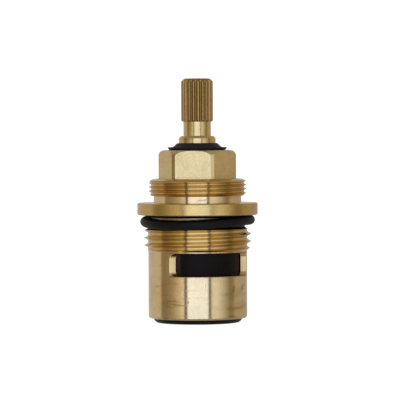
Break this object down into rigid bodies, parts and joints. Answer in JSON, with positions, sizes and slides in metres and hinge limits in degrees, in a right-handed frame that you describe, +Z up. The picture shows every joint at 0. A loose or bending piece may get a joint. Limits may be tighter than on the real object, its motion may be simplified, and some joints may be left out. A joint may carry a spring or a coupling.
{
  "type": "ceramic disc tap cartridge",
  "caption": "Quarter-turn tap cartridge: splined brass spindle in a threaded brass body with side windows, turning a ceramic disc over a fixed disc to open or close the water.",
  "frame": {"origin": "middle of the bottom seal's face, which is the lowest point", "axes": "+Z up the spindle axis towards the splined head; the two side windows look along +Y and -Y"},
  "size_m": [0.0296, 0.0296, 0.0597],
  "materials": {
    "body_brass": "satin",
    "spindle_brass": "satin",
    "lip_plastic": "matte",
    "seal_rubber": "satin",
    "driver_plastic": "satin",
    "white_plastic": "satin",
    "disc_ceramic": "satin"
  },
  "bodies": {
    "housing": {"body": "body_brass", "friction_washer": "white_plastic", "fixed_disc": "disc_ceramic", "bottom_seal": "seal_rubber", "seal_support_ring": "white_plastic", "flange_o_ring": "seal_rubber"},
    "spindle_group": {"spindle": "spindle_brass", "dust_lip": "lip_plastic", "upper_stem_o_ring": "seal_rubber", "lower_stem_o_ring": "seal_rubber", "disc_driver": "driver_plastic", "moving_disc": "disc_ceramic"}
  },
  "joints": [
    {"name": "spindle_turn", "type": "hinge", "parent": "housing", "child": "spindle_group", "pos_m": [0, 0, 0.03], "axis": [0, 0, 1], "range_deg": [0, 90]}
  ]
}
